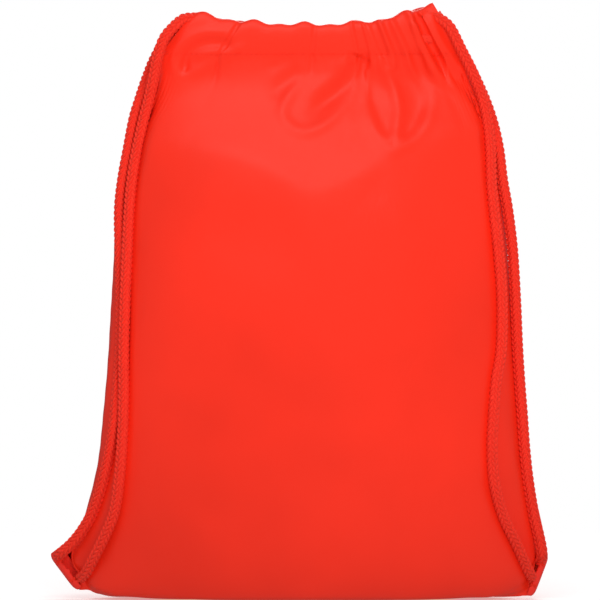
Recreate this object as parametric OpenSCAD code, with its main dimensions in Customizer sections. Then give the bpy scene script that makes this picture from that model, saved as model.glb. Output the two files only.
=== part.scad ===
// Drawstring backpack, stuffed and standing upright.
// Millimetres, +Z up, the front faces -Y. The origin is the middle of the base.

/* [Fabric] */
// Width of the bag across its two bottom corners
bag_w = 330; // [322:2:338]
// Thickness of the fabric stand-in
fabric_t = 1.6; // [1.2:0.2:2]
// Seam allowance folded inside the bag
seam_w = 8; // [5:1:10]
// Gap that the side and bottom seams fill
seam_gap = 1.2; // [1:0.2:2]

/* [Hem] */
// Outside thickness of the cord tunnel round the mouth
hem_t = 10; // [9.6:0.2:11]
// Half of the mouth's gap in its middle, between the middles of the hems
mouth_half = 13; // [12:1:16]
// Half of the mouth's gap at its two ends
mouth_end_half = 6; // [5.8:0.1:7]
// Number of stitches along the front or the back hem
stitches = 40; // [30:1:50]
// Length of one stitch
stitch_l = 2.6; // [2:0.2:3]

/* [Cords] */
// Diameter of each braided cord
cord_d = 7; // [6:0.5:7]
// Thickness of a cord where the gathers press it flat
cord_flat = 3.6; // [3:0.2:4]

/* [Corners] */
// Length of the bound diagonal edge at each bottom corner
binding_l = 26; // [22:1:30]
// Width of that binding
binding_w = 9; // [8:1:10]

/* [Hidden] */

fabric_red = [0.96, 0.13, 0.08];
cord_red = [0.85, 0.08, 0.05];
thread_red = [0.75, 0.06, 0.04];

// Rows of a panel from the bottom seam up to the hem:
// [half depth at the middle, height at the middle, height at the side, left side x, right side x]
rows = [
    [0.6, 0, 12, -141, 141], [16, 0, 21, -148, 148], [32, 0, 31, -152, 155], [46, 9, 43, -149, 156],
    [56, 33, 62, -142, 154], [61, 69, 90, -136, 151], [62, 110, 122, -132, 149],
    [62, 150, 156, -129, 147], [60, 190, 190, -127, 145], [54, 230, 224, -125, 143],
    [45, 269, 258, -122, 140], [35, 303, 292, -115, 134], [25, 331, 326, -104, 121],
    [16, 357, 357, -96, 104]];
row_steps = 2;      // panel rows made between two listed rows
columns = 24;       // panel columns from side to side
flank = 2.3;        // how square the bag's plan is
hem_rows = 3.5;     // listed rows over which the belly closes in to the hem

// The hem's lower and upper edges: [left x, right x]
hem_bottom_x = [-96, 104];
hem_top_x = [-68, 88];
hem_bottom_z = 358.5;
hem_top_mid_z = 380;
hem_top_rise = [9, 15];     // how much higher the left and right ends stand
hem_steps = 24;     // sections along a hem
hem_wall = 0.7;     // wall of the tunnel
hem_high = 22;      // its height, near enough to scale the wall by
stitch_up = 0.16;   // height of the stitch line, as a part of the hem's height
stitch_margin = 0.03;
thread = 0.7;       // thickness of the sewing thread
bartack = [2, 2 * mouth_end_half - 3, 6];
bartack_gap = 2.2;  // from the foot of the mouth's slit out to the middle of its bartack

// Routes of the four cord strands, from the hem's ends down to the corners
left_front_route = [
    [-77, -7, 383], [-86, -9, 380], [-94, -12, 369], [-101, -12, 354], [-106, -10, 332],
    [-111, -11, 308], [-114, -14, 278], [-115, -18, 244], [-116, -21, 205], [-117, -23, 165],
    [-118, -26, 130], [-119, -28, 98], [-121, -29, 72], [-128, -25, 45], [-137, -18, 28], [-146, -9, 15]];
left_back_route = [
    [-77, 7, 383], [-86, 9, 381], [-95, 10, 370], [-103, 8, 355], [-110, 4, 336],
    [-116, -2, 312], [-120, -7, 284], [-122, -11, 250], [-123, -15, 212], [-124, -17, 172],
    [-125, -19, 135], [-128, -19, 105], [-134, -16, 76], [-143, -11, 54], [-152, -9, 40], [-159, -8, 31]];
right_front_route = [
    [93, -7, 386], [102, -9, 384], [110, -12, 372], [115, -12, 356], [120, -9, 338],
    [126, -10, 314], [130, -14, 286], [133, -18, 250], [135, -21, 212], [134, -25, 175],
    [130, -30, 138], [129, -33, 106], [130, -33, 74], [139, -26, 49], [146, -17, 32], [152, -9, 18]];
right_back_route = [
    [93, 7, 386], [102, 9, 384], [111, 11, 372], [117, 10, 357], [124, 4, 340],
    [131, -2, 318], [137, -8, 290], [141, -10, 256], [144, -10, 220], [146, -11, 182],
    [148, -12, 145], [150, -12, 112], [152, -12, 80], [156, -9, 57], [159, -8, 42], [161, -8, 31]];
cord_sides = 10;

// Heights of a cord in its tunnel, as parts of the hem's height: at its own end and at its turn
run_high = 0.76;
run_low = 0.35;
run_steps = 6;
run_layer = 2;        // how far a run lies from the middle of the tunnel

// The bound diagonal edge runs from near the floor up to the corner's tip
binding_low = [-145, 0, 9];
binding_tilt = 38;      // lean away from upright, degrees
binding_t = 6;
binding_r = 2;          // radius of its folds
corner_stitches = [0.2, 0.8];   // where the stitched bars cross it, as parts of its length
corner_stitch = [binding_w - 3, thread, 1.6];
turn_gap = 0.4;         // between a run's end and the turn

function lerp(a, b, t) = a + (b - a) * t;
function unit(v) = v / norm(v);
function smooth(t) = let (c = min(max(t, 0), 1)) c * c * (3 - 2 * c);
function at(list, i) = list[min(max(i, 0), len(list) - 1)];

// A smooth curve through a list's entries, at entry i + f
function through(list, i, f) =
    let (a = at(list, i - 1), b = at(list, i), c = at(list, i + 1), d = at(list, i + 2))
    0.5 * (2 * b + (c - a) * f + (2 * a - 5 * b + 4 * c - d) * f * f
        + (3 * b - a - 3 * c + d) * f * f * f);
function row(r) = let (i = min(floor(r), len(rows) - 2)) through(rows, i, r - i);

// Half gap of the mouth along the hem, where u runs from -1, left, to 1, right
function mouth_y(u) = lerp(mouth_half, mouth_end_half, u * u);

// A point of a panel's outside; side is -1 in front and 1 behind, grown outward by grow
function panel_point(side, u, r) =
    let (
        w = row(r),
        k = pow(abs(u), lerp(10, 4, smooth(r / 5))),
        close = smooth((r - (len(rows) - 1 - hem_rows)) / hem_rows),
        belly = w[0] * pow(max(0, 1 - pow(abs(u), flank)), 0.78),
        half = lerp(belly, mouth_y(u), close * close),
        wide = bag_w / 330)
    [wide * lerp(w[3], w[4], (u + 1) / 2), side * max(half, seam_gap / 2 + fabric_t), lerp(max(w[1], 0), w[2], k)];

function panel_normal(side, u, r) =
    let (
        du = 0.004,
        dr = 0.3,
        top = len(rows) - 1,
        a = panel_point(side, min(u + du, 1), r) - panel_point(side, max(u - du, -1), r),
        b = panel_point(side, u, min(r + dr, top)) - panel_point(side, u, max(r - dr, 0)),
        n = unit(cross(a, b)))
    side < 0 ? n : -n;

// The inside of the panel; its rims reach in to the seams in the middle plane
function panel_inside(side, u, r) =
    let (
        p = panel_point(side, u, r) - fabric_t * panel_normal(side, u, r),
        below_slit = r < len(rows) - 1 - hem_rows / 2,
        rim = r == 0 || (abs(u) > 0.999 && below_slit))
    [p.x, rim ? side * seam_gap / 2 : side * max(side * p.y, seam_gap / 2), max(p.z, fabric_t)];

// A closed sheet between an outer and an inner grid of points
module sheet(outer, inner, flip = false) {
    n = len(outer);
    m = len(outer[0]);
    function at_outer(j, i) = j * m + i;
    function at_inner(j, i) = n * m + j * m + i;
    quads = [
        for (j = [0:n - 2], i = [0:m - 2])
            [at_outer(j, i), at_outer(j + 1, i), at_outer(j + 1, i + 1), at_outer(j, i + 1)],
        for (j = [0:n - 2], i = [0:m - 2])
            [at_inner(j, i), at_inner(j, i + 1), at_inner(j + 1, i + 1), at_inner(j + 1, i)],
        for (i = [0:m - 2]) [at_outer(0, i), at_outer(0, i + 1), at_inner(0, i + 1), at_inner(0, i)],
        for (i = [0:m - 2])
            [at_outer(n - 1, i + 1), at_outer(n - 1, i), at_inner(n - 1, i), at_inner(n - 1, i + 1)],
        for (j = [0:n - 2]) [at_outer(j + 1, 0), at_outer(j, 0), at_inner(j, 0), at_inner(j + 1, 0)],
        for (j = [0:n - 2])
            [at_outer(j, m - 1), at_outer(j + 1, m - 1), at_inner(j + 1, m - 1), at_inner(j, m - 1)]];
    faces = [for (q = quads) for (t = [[q[0], q[1], q[2]], [q[0], q[2], q[3]]])
        flip ? [t[2], t[1], t[0]] : t];
    polyhedron(points = [for (line = outer) each line, for (line = inner) each line], faces = faces);
}

// A closed bar through a list of rings, all with the same number of points
module bar(rings) {
    n = len(rings);
    m = len(rings[0]);
    polyhedron(points = [for (ring = rings) each ring], faces = [
        [for (i = [0:m - 1]) i],
        [for (i = [m - 1:-1:0]) (n - 1) * m + i],
        for (j = [0:n - 2], i = [0:m - 1])
            let (a = j * m + i, b = j * m + (i + 1) % m)
            each [[a, a + m, b + m], [a, b + m, b]]]);
}

// A hollow bar: an outer and an inner list of rings
module tunnel(outer, inner) {
    n = len(outer);
    m = len(outer[0]);
    all = n * m;
    polyhedron(points = [for (ring = outer) each ring, for (ring = inner) each ring], faces = [
        for (j = [0:n - 2], i = [0:m - 1])
            let (a = j * m + i, b = j * m + (i + 1) % m)
            each [[a, a + m, b + m], [a, b + m, b],
                [all + a, all + b + m, all + a + m], [all + a, all + b, all + b + m]],
        for (i = [0:m - 1])
            let (a = i, b = (i + 1) % m, c = (n - 1) * m + i, d = (n - 1) * m + (i + 1) % m)
            each [[a, b, all + b], [a, all + b, all + a], [c, all + d, d], [c, all + c, all + d]]]);
}

// A round tube through a route's points, pressed to a part of its width along Y
module cord_tube(route, width, thick) {
    n = len(route);
    bar([for (j = [0:n - 1])
        let (
            along = unit(at(route, j + 1) - at(route, j - 1)),
            e1 = unit(cross(along, [0, 1, 0])),
            e2 = cross(along, e1))
        [for (i = [0:cord_sides - 1])
            let (a = 360 * i / cord_sides)
            route[j] + e1 * width / 2 * cos(a) + e2 * thick / 2 * sin(a)]]);
}

module panel(side) {
    last = len(rows) - 1;
    steps = [for (j = [0:last * row_steps]) j / row_steps];
    us = [for (i = [0:columns]) let (u = -1 + 2 * i / columns) sin(90 * u)];
    sheet(
        [for (r = steps) [for (u = us) panel_point(side, u, r)]],
        [for (r = steps) [for (u = us) panel_inside(side, u, r)]],
        side > 0);
}

// The seam allowance along one side, standing inward between the two panels
module side_seam(u) {
    last = len(rows) - 2;
    half = u * (seam_gap / 2 - 0.1);
    bar([for (j = [2:last * row_steps])
        let (p = panel_point(-1, u, j / row_steps), x = p.x - u * 0.4, x2 = p.x - u * seam_w)
        [[x, half, p.z], [x2, half, p.z], [x2, -half, p.z], [x, -half, p.z]]]);
}

// The hem's section at u: part of the way up, and y from the middle of the tunnel
function hem_point(side, u, up, y) =
    let (
        bottom = [lerp(hem_bottom_x[0], hem_bottom_x[1], (u + 1) / 2), hem_bottom_z],
        rise = u < 0 ? hem_top_rise[0] : hem_top_rise[1],
        top = [lerp(hem_top_x[0], hem_top_x[1], (u + 1) / 2), hem_top_mid_z + rise * pow(abs(u), 2.5)],
        p = lerp(bottom, top, up))
    [p.x, side * (mouth_y(u) + y), p.y];

// Rings of the tunnel, thinned by inset, from end to end
function hem_rings(side, inset) =
    [for (i = [0:hem_steps])
        let (u = -1 + 2 * i / hem_steps)
        [for (k = [0:11])
            let (a = side * 30 * k + 15, c = cos(a), s = sin(a))
            hem_point(side, u, 0.5 + (0.5 - inset / hem_high) * sign(s) * sqrt(abs(s)),
                (hem_t / 2 - inset) * sign(c) * sqrt(abs(c)))]];

module hem(side) {
    tunnel(hem_rings(side, 0), hem_rings(side, hem_wall));
}

// A row of stitches on the hem's outside, just above its lower edge
module hem_stitching(side) {
    for (i = [0:stitches - 1]) {
        u = (1 - stitch_margin) * (2 * (i + 0.5) / stitches - 1);
        translate(hem_point(side, u, stitch_up, hem_t / 2 + thread * 0.7))
            cube([stitch_l, thread, thread], center = true);
    }
}

// Stitched bar that ends the side seam below the cords' exits
module mouth_bartack(u) {
    foot = hem_point(-1, u, 0, 0);
    translate([foot.x + u * bartack_gap, 0, foot.z]) cube(bartack, center = true);
}

// One flattened run in a tunnel, from the cord's own end to the turn at the other end
module cord_run(side, own, layer) {
    points = [for (i = [0:run_steps])
        let (t = i / run_steps, u = own * (1 - 2 * t))
        hem_point(side, u, lerp(run_high, run_low, t), layer)];
    cord_tube(points, cord_d, cord_flat);
}

// The bend where a cord leaves one tunnel and enters the other
module cord_turn(u, layer) {
    foot = hem_point(-1, u, run_low, layer);
    reach = abs(foot.y);
    translate([foot.x + u * turn_gap, 0, foot.z]) rotate([0, 0, u < 0 ? 90 : -90])
        rotate_extrude(angle = 180, $fn = 48) translate([reach, 0]) circle(d = cord_flat, $fn = 20);
}

// Folded strip round the cut corner, with the cord's two ends sewn in
module corner_binding(side) {
    x = side * abs(binding_low.x);
    translate([x, 0, binding_low.z]) rotate([0, side * binding_tilt, 0])
        linear_extrude(binding_l)
        offset(r = binding_r, $fn = 24)
        square([binding_w - 2 * binding_r, binding_t - 2 * binding_r], center = true);
}

module corner_bartack(side) {
    x = side * abs(binding_low.x);
    for (up = corner_stitches)
        translate([x, -(binding_t + thread) / 2, binding_low.z]) rotate([0, side * binding_tilt, 0])
            translate([0, 0, binding_l * up]) cube(corner_stitch, center = true);
}

module front_panel() { color(fabric_red) panel(-1); }
module back_panel() { color(fabric_red) panel(1); }
module left_side_seam() { color(thread_red) side_seam(-1); }
module right_side_seam() { color(thread_red) side_seam(1); }
module bottom_seam() {
    half = seam_gap / 2 - 0.1;
    steps = 24;
    color(thread_red) bar([for (i = [0:steps])
        let (u = 0.97 * (-1 + 2 * i / steps), p = panel_point(-1, u, 0), z = max(p.z, 0.4))
        [[p.x, -half, z], [p.x, half, z], [p.x, half, z + seam_w], [p.x, -half, z + seam_w]]]);
}
module front_hem() { color(fabric_red) hem(-1); }
module back_hem() { color(fabric_red) hem(1); }
module front_hem_stitching() { color(thread_red) hem_stitching(-1); }
module back_hem_stitching() { color(thread_red) hem_stitching(1); }
module left_mouth_bartack() { color(thread_red) mouth_bartack(-1); }
module right_mouth_bartack() { color(thread_red) mouth_bartack(1); }
module left_corner_binding() { color(cord_red) corner_binding(-1); }
module right_corner_binding() { color(cord_red) corner_binding(1); }
module left_corner_bartack() { color(thread_red) corner_bartack(-1); }
module right_corner_bartack() { color(thread_red) corner_bartack(1); }
module left_cord_front_strand() { color(cord_red) cord_tube(left_front_route, cord_d, cord_d); }
module left_cord_back_strand() { color(cord_red) cord_tube(left_back_route, cord_d, cord_d); }
module right_cord_front_strand() { color(cord_red) cord_tube(right_front_route, cord_d, cord_d); }
module right_cord_back_strand() { color(cord_red) cord_tube(right_back_route, cord_d, cord_d); }
module left_cord_front_run() { color(cord_red) cord_run(-1, -1, run_layer); }
module left_cord_back_run() { color(cord_red) cord_run(1, -1, run_layer); }
module right_cord_front_run() { color(cord_red) cord_run(-1, 1, -run_layer); }
module right_cord_back_run() { color(cord_red) cord_run(1, 1, -run_layer); }
module left_cord_turn() { color(cord_red) cord_turn(1, run_layer); }
module right_cord_turn() { color(cord_red) cord_turn(-1, -run_layer); }

front_panel();
back_panel();
left_side_seam();
right_side_seam();
bottom_seam();
front_hem();
back_hem();
front_hem_stitching();
back_hem_stitching();
left_mouth_bartack();
right_mouth_bartack();
left_corner_binding();
right_corner_binding();
left_corner_bartack();
right_corner_bartack();
left_cord_front_strand();
left_cord_back_strand();
right_cord_front_strand();
right_cord_back_strand();
left_cord_front_run();
left_cord_back_run();
right_cord_front_run();
right_cord_back_run();
left_cord_turn();
right_cord_turn();
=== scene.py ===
# Drawstring backpack: its looks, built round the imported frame. Metres, +Z up, the front faces -Y.
import math
import bpy
import numpy as np
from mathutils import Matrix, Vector


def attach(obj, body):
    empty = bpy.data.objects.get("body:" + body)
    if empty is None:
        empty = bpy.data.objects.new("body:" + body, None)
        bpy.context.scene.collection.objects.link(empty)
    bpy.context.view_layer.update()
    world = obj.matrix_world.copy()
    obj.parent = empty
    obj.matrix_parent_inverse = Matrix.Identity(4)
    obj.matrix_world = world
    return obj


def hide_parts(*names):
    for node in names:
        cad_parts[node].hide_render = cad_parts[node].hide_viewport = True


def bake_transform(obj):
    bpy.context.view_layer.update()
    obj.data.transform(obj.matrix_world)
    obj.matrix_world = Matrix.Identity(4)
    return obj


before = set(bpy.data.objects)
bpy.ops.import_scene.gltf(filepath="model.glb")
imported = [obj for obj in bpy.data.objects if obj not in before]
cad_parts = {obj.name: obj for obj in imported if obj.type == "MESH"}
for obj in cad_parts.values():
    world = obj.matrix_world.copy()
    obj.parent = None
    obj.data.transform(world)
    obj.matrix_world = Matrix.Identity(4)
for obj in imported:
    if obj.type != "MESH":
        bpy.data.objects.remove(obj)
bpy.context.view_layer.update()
scene = bpy.context.scene
scene.view_settings.view_transform = "Standard"

# ---------------------------------------------------------------- camera

VIEW_WIDTH = 0.3984         # width of the view at the bag
VIEW_CENTRE = (0.0003, 0.0, 0.1978)
CAMERA_AWAY = 2.6
SENSOR = 36.0               # millimetres


def make_camera():
    data = bpy.data.cameras.new("camera")
    data.sensor_width = SENSOR
    data.lens = SENSOR * CAMERA_AWAY / VIEW_WIDTH
    camera = bpy.data.objects.new("camera", data)
    camera.location = Vector(VIEW_CENTRE) + Vector((0, -CAMERA_AWAY, 0))
    camera.rotation_euler = (math.pi / 2, 0, 0)
    scene.collection.objects.link(camera)
    scene.camera = camera


make_camera()

# ---------------------------------------------------------------- small helpers


def smooth(t):
    t = np.clip(t, 0.0, 1.0)
    return t * t * (3 - 2 * t)


def unit(v):
    v = np.asarray(v, float)
    return v / np.maximum(np.linalg.norm(v, axis=-1, keepdims=True), 1e-12)


def through(points, t):
    """Catmull-Rom curve through points, at each parameter t counted in points."""
    p = np.asarray(points, float)
    t = np.atleast_1d(np.asarray(t, float))
    i = np.clip(np.floor(t).astype(int), 0, len(p) - 2)
    f = (t - i)[:, None]
    last = len(p) - 1
    a, b, c, d = (p[np.clip(i + k, 0, last)] for k in (-1, 0, 1, 2))
    return 0.5 * (2 * b + (c - a) * f + (2 * a - 5 * b + 4 * c - d) * f ** 2
                  + (3 * b - a - 3 * c + d) * f ** 3)


def distances(line):
    """How far along a line each of its points lies."""
    return np.cumsum(np.linalg.norm(np.diff(line, axis=0, prepend=line[:1]), axis=-1))


def spaced(points, step):
    """The smooth curve through points, as points an even step apart."""
    fine = through(points, np.linspace(0, len(points) - 1, 60 * len(points)))
    along = distances(fine)
    at = np.linspace(0, along[-1], max(2, int(round(along[-1] / step)) + 1))
    return np.stack([np.interp(at, along, fine[:, k]) for k in range(3)], 1)


def ring_faces(rings, sides):
    """The walls of a tube whose rings of points follow one another."""
    faces = []
    for low in range(0, (rings - 1) * sides, sides):
        high = low + sides
        faces += [(low + i, low + (i + 1) % sides, high + (i + 1) % sides, high + i) for i in range(sides)]
    return faces


def tube_faces(rings, sides):
    """The walls of a tube and a flat face at each end."""
    ends = [tuple(reversed(range(sides))), tuple(range((rings - 1) * sides, rings * sides))]
    return ring_faces(rings, sides) + ends


def add_mesh(name, points, faces, material, smooth_faces=True):
    mesh = bpy.data.meshes.new(name)
    mesh.from_pydata(np.asarray(points).tolist(), [], [tuple(map(int, f)) for f in faces])
    mesh.materials.append(material)
    if smooth_faces:
        mesh.polygons.foreach_set("use_smooth", [True] * len(mesh.polygons))
    mesh.update()
    piece = bpy.data.objects.new(name, mesh)
    scene.collection.objects.link(piece)
    return piece


def frames_along(line):
    """Tangent, normal and binormal along a line, carried forward without twist."""
    tangent = unit(np.gradient(line, axis=0))
    normal = np.zeros_like(line)
    start = np.array([0.0, 1.0, 0.0])
    normal[0] = unit(start - tangent[0] * (start @ tangent[0]))
    for k in range(1, len(line)):
        n = normal[k - 1] - tangent[k] * (normal[k - 1] @ tangent[k])
        normal[k] = unit(n)
    return tangent, normal, np.cross(tangent, normal)


# ---------------------------------------------------------------- materials

RED = (0.945, 0.026, 0.0085)


def nodes_of(material):
    material.use_nodes = True
    tree = material.node_tree
    return tree, tree.nodes["Principled BSDF"]


def node(tree, kind, inputs=None, **settings):
    made = tree.nodes.new(kind)
    for key, value in settings.items():
        setattr(made, key, value)
    set_inputs(made, inputs or {})
    return made


def link(source, output, target, socket):
    target.id_data.links.new(source.outputs[output], target.inputs[socket])


def set_inputs(shader, values):
    for key, value in values.items():
        shader.inputs[key].default_value = value


def tones(tree, source, colour, *stops):
    """A colour from darker to lighter: each stop is a place on the ramp and a share of the colour."""
    made = tree.nodes.new("ShaderNodeValToRGB")
    for element, (place, share) in zip(made.color_ramp.elements, stops):
        element.position = place
        element.color = tuple(min(1, c * share) for c in colour) + (1,)
    link(source, "Fac", made, "Fac")
    return made


def weave_bump(tree, place, pitch, depth):
    """Warp and weft threads as a fine bump."""
    weave = node(tree, "ShaderNodeMath", operation="MULTIPLY")
    for socket, axis in enumerate(("X", "Z")):
        band = node(tree, "ShaderNodeTexWave", {"Scale": 2 * math.pi / pitch / 20, "Distortion": 0.6,
                                                "Detail": 1.0, "Detail Scale": 2.0},
                    wave_type="BANDS", bands_direction=axis, wave_profile="SIN")
        link(place, "Object", band, "Vector")
        link(band, "Fac", weave, socket)
    fine = node(tree, "ShaderNodeBump", {"Strength": 0.35, "Distance": depth})
    link(weave, 0, fine, "Height")
    return fine


def satin(name, colour, rough, weave_pitch, weave_depth, sheen):
    """Plain-weave polyester: threads in the bump, a soft sheen, faint creases and uneven tone."""
    material = bpy.data.materials.new(name)
    tree, shader = nodes_of(material)
    place = node(tree, "ShaderNodeTexCoord")
    fine = weave_bump(tree, place, weave_pitch, weave_depth)
    creases = node(tree, "ShaderNodeTexNoise", {"Scale": 26.0, "Detail": 4.0, "Roughness": 0.55,
                                                "Distortion": 0.7})
    link(place, "Object", creases, "Vector")
    soft = node(tree, "ShaderNodeBump", {"Strength": 0.16, "Distance": 0.0022})
    link(creases, "Fac", soft, "Height")
    link(fine, "Normal", soft, "Normal")
    link(soft, "Normal", shader, "Normal")
    tone = node(tree, "ShaderNodeTexNoise", {"Scale": 9.0, "Detail": 3.0, "Roughness": 0.5})
    link(place, "Object", tone, "Vector")
    colours = tones(tree, tone, colour, (0.3, 0.93), (0.7, 1.05))
    link(colours, "Color", shader, "Base Color")
    gloss = node(tree, "ShaderNodeMapRange", {"To Min": rough - 0.04, "To Max": rough + 0.05})
    link(tone, "Fac", gloss, "Value")
    link(gloss, "Result", shader, "Roughness")
    set_inputs(shader, {"Specular IOR Level": 0.38, "Specular Tint": (1.0, 0.85, 0.80, 1),
                        "Sheen Weight": sheen, "Sheen Roughness": 0.4, "Sheen Tint": (1.0, 0.25, 0.18, 1)})
    return material


def yarn(name, colour, rough, pitch):
    """Twisted polyester yarn: fine slanting filaments with lighter and darker fibres."""
    material = bpy.data.materials.new(name)
    tree, shader = nodes_of(material)
    place = node(tree, "ShaderNodeTexCoord")
    fibres = node(tree, "ShaderNodeTexNoise", {"Scale": 1.0 / pitch, "Detail": 4.0, "Roughness": 0.6,
                                                "Distortion": 1.2})
    link(place, "Object", fibres, "Vector")
    colours = tones(tree, fibres, colour, (0.35, 0.80), (0.65, 1.08))
    link(colours, "Color", shader, "Base Color")
    bump = node(tree, "ShaderNodeBump", {"Strength": 0.5, "Distance": 0.0003})
    link(fibres, "Fac", bump, "Height")
    link(bump, "Normal", shader, "Normal")
    set_inputs(shader, {"Roughness": rough, "Specular IOR Level": 0.3,
                        "Specular Tint": (1.0, 0.45, 0.35, 1), "Sheen Weight": 0.15,
                        "Sheen Tint": (1.0, 0.3, 0.2, 1)})
    return material


FABRIC = satin("polyester_satin", RED, 0.36, 0.0006, 0.00012, 0.02)
BINDING = satin("folded_binding", (0.93, 0.027, 0.015), 0.5, 0.0006, 0.00012, 0.12)
CORD = yarn("braided_cord", (0.96, 0.036, 0.019), 0.50, 0.0011)
THREAD = yarn("sewing_thread", (0.93, 0.030, 0.014), 0.45, 0.0006)

# ---------------------------------------------------------------- the bodies of the mouth's two sides

MOUTH_BODY = {"left": "left_mouth", "right": "right_mouth"}
SIDE_SIGN = {"left": -1.0, "right": 1.0}


def draw_with(piece):
    """Bake the piece's placement into its points."""
    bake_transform(piece)


# ---------------------------------------------------------------- cords

CORD_D = 0.007
ROUTES = {
    ("left", "front"): [
        (-0.07, -0.007, 0.3845), (-0.077, -0.009, 0.3835), (-0.0835, -0.0125, 0.378),
        (-0.0898, -0.0145, 0.3697), (-0.094, -0.0148, 0.357), (-0.0965, -0.0135, 0.344),
        (-0.0996, -0.011, 0.3307), (-0.1031, -0.0105, 0.3174), (-0.1074, -0.0122, 0.2975),
        (-0.1106, -0.0147, 0.2776), (-0.1124, -0.017, 0.2576), (-0.1136, -0.0195, 0.231),
        (-0.1149, -0.0217, 0.198), (-0.1157, -0.0237, 0.165), (-0.1156, -0.0262, 0.1315),
        (-0.1165, -0.0282, 0.105), (-0.1186, -0.029, 0.0784), (-0.1218, -0.0272, 0.0584),
        (-0.1275, -0.024, 0.044), (-0.135, -0.018, 0.029), (-0.1405, -0.011, 0.0185),
        (-0.144, -0.005, 0.0145), (-0.1465, 0.001, 0.013)],
    ("left", "back"): [
        (-0.07, 0.007, 0.3845), (-0.077, 0.009, 0.3835), (-0.084, 0.01, 0.3785),
        (-0.0904, 0.0095, 0.3697), (-0.097, 0.0065, 0.357), (-0.1018, 0.0015, 0.344),
        (-0.106, -0.0028, 0.3307), (-0.1098, -0.005, 0.3174), (-0.1135, -0.007, 0.2975),
        (-0.117, -0.0092, 0.2776), (-0.119, -0.011, 0.2576), (-0.1186, -0.013, 0.231),
        (-0.1177, -0.0147, 0.198), (-0.1182, -0.0165, 0.165), (-0.1205, -0.0198, 0.1315),
        (-0.1238, -0.0212, 0.105), (-0.1297, -0.0185, 0.0784), (-0.1365, -0.0135, 0.0584),
        (-0.143, -0.0108, 0.0465), (-0.15, -0.0092, 0.0375), (-0.1565, -0.0075, 0.0315),
        (-0.16, -0.0035, 0.0285), (-0.1595, 0.001, 0.0265)],
    ("right", "front"): [
        (0.084, -0.007, 0.3865), (0.0905, -0.009, 0.385), (0.0965, -0.012, 0.381),
        (0.1005, -0.014, 0.376), (0.1064, -0.0145, 0.3639), (0.1148, -0.013, 0.3473),
        (0.1212, -0.0105, 0.3307), (0.1246, -0.0105, 0.3144), (0.1262, -0.0132, 0.2975),
        (0.1266, -0.0155, 0.2776), (0.1282, -0.0178, 0.2576), (0.1312, -0.02, 0.231),
        (0.1334, -0.022, 0.198), (0.1326, -0.0258, 0.165), (0.1292, -0.0292, 0.1448),
        (0.1272, -0.0318, 0.122), (0.1262, -0.0332, 0.1008), (0.1277, -0.0328, 0.0787),
        (0.1335, -0.0275, 0.0567), (0.143, -0.019, 0.037), (0.1505, -0.01, 0.0205),
        (0.1535, -0.0045, 0.015), (0.1545, 0.001, 0.0125)],
    ("right", "back"): [
        (0.084, 0.007, 0.3865), (0.0905, 0.009, 0.385), (0.097, 0.011, 0.381), (0.1012, 0.0115, 0.376),
        (0.1075, 0.0095, 0.3639), (0.116, 0.004, 0.3473), (0.123, -0.0018, 0.3307),
        (0.1283, -0.0048, 0.3144), (0.1318, -0.008, 0.2975), (0.1342, -0.0092, 0.2776),
        (0.1376, -0.01, 0.2576), (0.1408, -0.0102, 0.231), (0.1428, -0.0105, 0.198),
        (0.1442, -0.0112, 0.165), (0.1458, -0.0118, 0.14), (0.1472, -0.012, 0.122),
        (0.1487, -0.012, 0.1008), (0.1511, -0.012, 0.0787), (0.1548, -0.01, 0.0567),
        (0.1588, -0.0085, 0.04), (0.1605, -0.0072, 0.031), (0.1604, -0.0035, 0.0265),
        (0.1592, 0.001, 0.024)]}

BRAID_STEP = 0.0004         # rings along the cord
BRAID_SIDES = 48
STITCH_COLUMNS = 6          # rows of stitches round the cord, which slant in turn to either side
STITCH_RISE = 0.0037        # from one stitch to the next up a row
STITCH_SLANT = 1.0          # how many stitches a stitch climbs as it crosses its row
STITCH_HIGH = 0.0014
CORE_R = CORD_D / 2 - 0.75 * STITCH_HIGH


def braid_tube(name, line, flat=1.0, sides=BRAID_SIDES):
    """A round braid along a line: rows of rounded stitches that slant to either side in turn."""
    _, normal, across = frames_along(line)
    along = distances(line)
    angle = np.arange(sides) * 2 * math.pi / sides
    a, t = np.meshgrid(angle / (2 * math.pi) * STITCH_COLUMNS, along / STITCH_RISE)
    row = np.floor(a)
    off = a - row - 0.5
    phase = t + (1 - 2 * (row % 2)) * off * STITCH_SLANT + 0.5 * (row % 2)
    away = phase - np.round(phase)
    stitch = np.sqrt(np.clip(1 - (2.3 * away) ** 2, 0, 1)) * (1 - 0.9 * np.abs(2 * off) ** 3)
    radius = CORE_R + STITCH_HIGH * stitch
    ring = (line[:, None, :] + normal[:, None, :] * (flat * radius * np.cos(angle))[..., None]
            + across[:, None, :] * (radius * np.sin(angle))[..., None])
    count = len(line)
    points = list(ring.reshape(-1, 3)) + [line[0], line[-1]]
    top = (count - 1) * sides
    faces = ring_faces(count, sides)
    faces += [((i + 1) % sides, i, count * sides) for i in range(sides)]
    faces += [(top + i, top + (i + 1) % sides, count * sides + 1) for i in range(sides)]
    return add_mesh(name, points, faces, CORD)


def make_strands():
    strands = {}
    for (side, face), route in ROUTES.items():
        line = spaced(route, BRAID_STEP)
        name = f"{side}_cord_{face}_strand"
        piece = braid_tube(name + "_braid", line)
        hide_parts(name)
        draw_with(piece)
        strands[side, face] = line
    return strands


strands = make_strands()

# ---------------------------------------------------------------- the bag's stuffed shape

FLAT_W, PANEL_H, HEM_H = 0.340, 0.396, 0.024
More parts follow.
